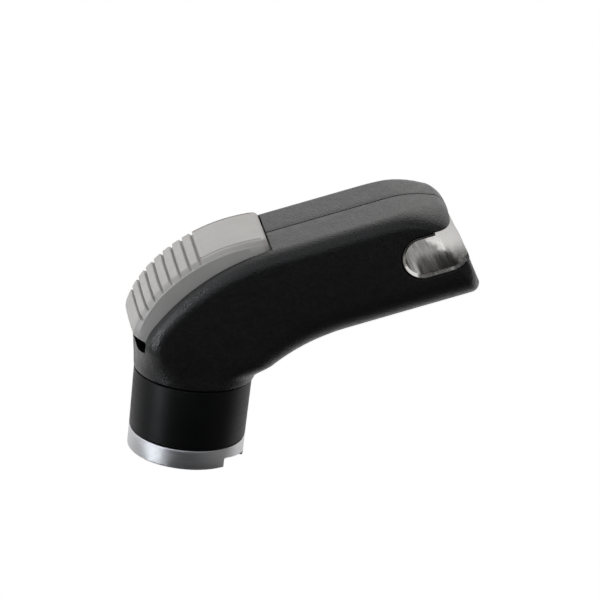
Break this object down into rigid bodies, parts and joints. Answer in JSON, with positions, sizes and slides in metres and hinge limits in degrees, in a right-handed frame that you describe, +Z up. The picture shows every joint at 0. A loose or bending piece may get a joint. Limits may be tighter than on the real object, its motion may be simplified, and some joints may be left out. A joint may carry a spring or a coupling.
{
  "type": "illuminated tongue blade holder head",
  "caption": "Bent instrument head for a battery handle, with a lit side notch, a slot for a tongue blade at the nose and a ribbed thumb slider that ejects the blade.",
  "frame": {"origin": "centre of the base ring's lower face, where the head sits on its handle", "axes": "+Z up the neck, +X towards the nose of the inclined arm, Y across the head"},
  "size_m": [0.082, 0.0288, 0.0677],
  "materials": {
    "body_black": "fine-grained black plastic",
    "collar_black": "smooth satin black plastic",
    "slider_grey": "light warm grey plastic, slightly worn",
    "ring_aluminium": "turned and brushed",
    "lamp_aluminium": "turned",
    "polished_metal": "brushed and polished across the notch",
    "steel": "plain",
    "brass": "plain",
    "white_plastic": "natural plastic",
    "black_plastic": "black plastic",
    "clear_glass": "clear"
  },
  "bodies": {
    "head": {"housing_left": "body_black", "housing_right": "body_black", "neck_collar": "collar_black", "base_ring": "ring_aluminium", "reflector_liner": "polished_metal", "blade_guide": "black_plastic", "clamp_rivet": "steel", "rocker_pin": "steel", "return_spring": "steel", "slider_track": "steel", "housing_screw_1": "steel", "housing_screw_2": "steel", "housing_screw_3": "steel", "insulator": "white_plastic", "retaining_ring": "steel", "contact_spring": "steel", "contact_cap": "brass", "lamp_window": "clear_glass", "lamp_holder": "lamp_aluminium", "lamp_base": "brass", "lamp_bulb": "clear_glass", "lamp_lead": "brass", "ground_strip": "brass", "socket_sleeve": "steel"},
    "slider": {"thumb_slider": "slider_grey", "slider_shoe": "black_plastic", "slider_screw_1": "steel", "slider_screw_2": "steel"},
    "rocker": {"rocker_lever": "steel"},
    "ejector": {"ejector": "white_plastic"},
    "contact": {"contact_pin": "brass"},
    "clamp": {"clamp_spring": "steel"}
  },
  "joints": [
    {"name": "slider_slide", "type": "hinge", "parent": "head", "child": "slider", "pos_m": [0.03195, 0, 0.00695], "axis": [0, -1, 0], "range_deg": [0, 2.6], "stiffness_Nm_per_rad": 2, "springref_deg": -2.86},
    {"name": "rocker_turn", "type": "hinge", "parent": "head", "child": "rocker", "pos_m": [0.01179, 0, 0.04069], "axis": [0, -1, 0], "range_deg": [0, 17.3]},
    {"name": "ejector_slide", "type": "slide", "parent": "head", "child": "ejector", "axis": [0.9397, 0, 0.342], "range_m": [0, 0.0024]},
    {"name": "contact_plunge", "type": "slide", "parent": "head", "child": "contact", "axis": [0, 0, 1], "range_m": [0, 0.0015], "stiffness_N_per_m": 1500, "springref_m": -0.001, "deforming": ["contact_spring"]},
    {"name": "clamp_flex", "type": "hinge", "parent": "head", "child": "clamp", "pos_m": [0.05161, 0, 0.04709], "axis": [0, 1, 0], "range_deg": [0, 3], "stiffness_Nm_per_rad": 0.5, "springref_deg": -1.15}
  ],
  "couplings": [
    {"joint": "rocker_turn", "follows": "slider_slide", "ratio": 6.6154},
    {"joint": "ejector_slide", "follows": "slider_slide", "m_per_rad": 0.04628}
  ]
}
